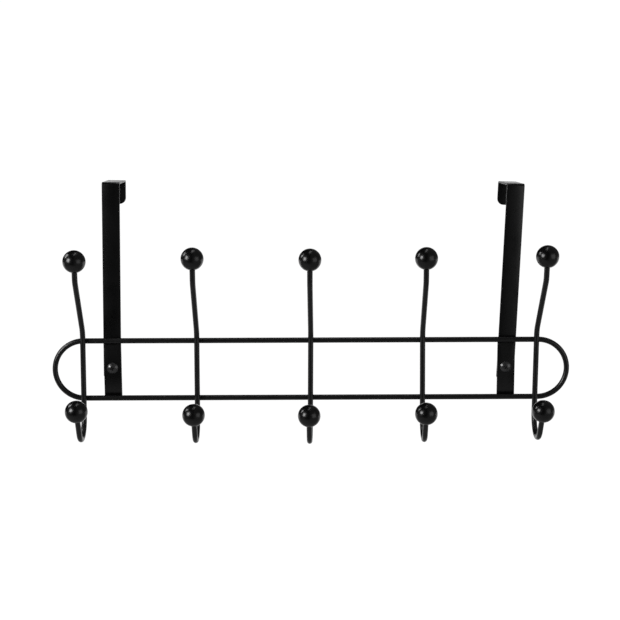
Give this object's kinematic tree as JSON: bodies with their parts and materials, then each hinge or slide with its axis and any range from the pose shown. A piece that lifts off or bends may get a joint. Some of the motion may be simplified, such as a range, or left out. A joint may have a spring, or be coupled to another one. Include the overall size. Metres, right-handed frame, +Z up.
{
  "type": "over door hook",
  "caption": "Over door hook rack: a black wire loop with bent double hooks, ball tips, and flat straps that hook over the top of a door.",
  "frame": {"origin": "on the top edge of the door, midway through its thickness and midway along the rack's wire loop", "axes": "+X along the rack to the right, -Y out from the door towards the viewer, +Z up"},
  "size_m": [0.45, 0.1031, 0.2231],
  "materials": {
    "black_wire": "satin black powder coat on round steel wire",
    "black_strap": "satin black powder coat on flat steel bar",
    "black_ball": "semi-gloss black moulded ball",
    "black_fastener": "black coated steel screw and nut"
  },
  "bodies": {
    "root": {"frame_loop": "black_wire", "hook_wire_1": "black_wire", "hook_wire_2": "black_wire", "hook_wire_3": "black_wire", "hook_wire_4": "black_wire", "hook_wire_5": "black_wire", "upper_ball_1": "black_ball", "upper_ball_2": "black_ball", "upper_ball_3": "black_ball", "upper_ball_4": "black_ball", "upper_ball_5": "black_ball", "lower_ball_1": "black_ball", "lower_ball_2": "black_ball", "lower_ball_3": "black_ball", "lower_ball_4": "black_ball", "lower_ball_5": "black_ball", "mounting_plate_left": "black_strap", "mounting_plate_right": "black_strap", "door_strap_left": "black_strap", "door_strap_right": "black_strap", "screw_left": "black_fastener", "screw_right": "black_fastener", "nut_left": "black_fastener", "nut_right": "black_fastener"}
  },
  "joints": []
}
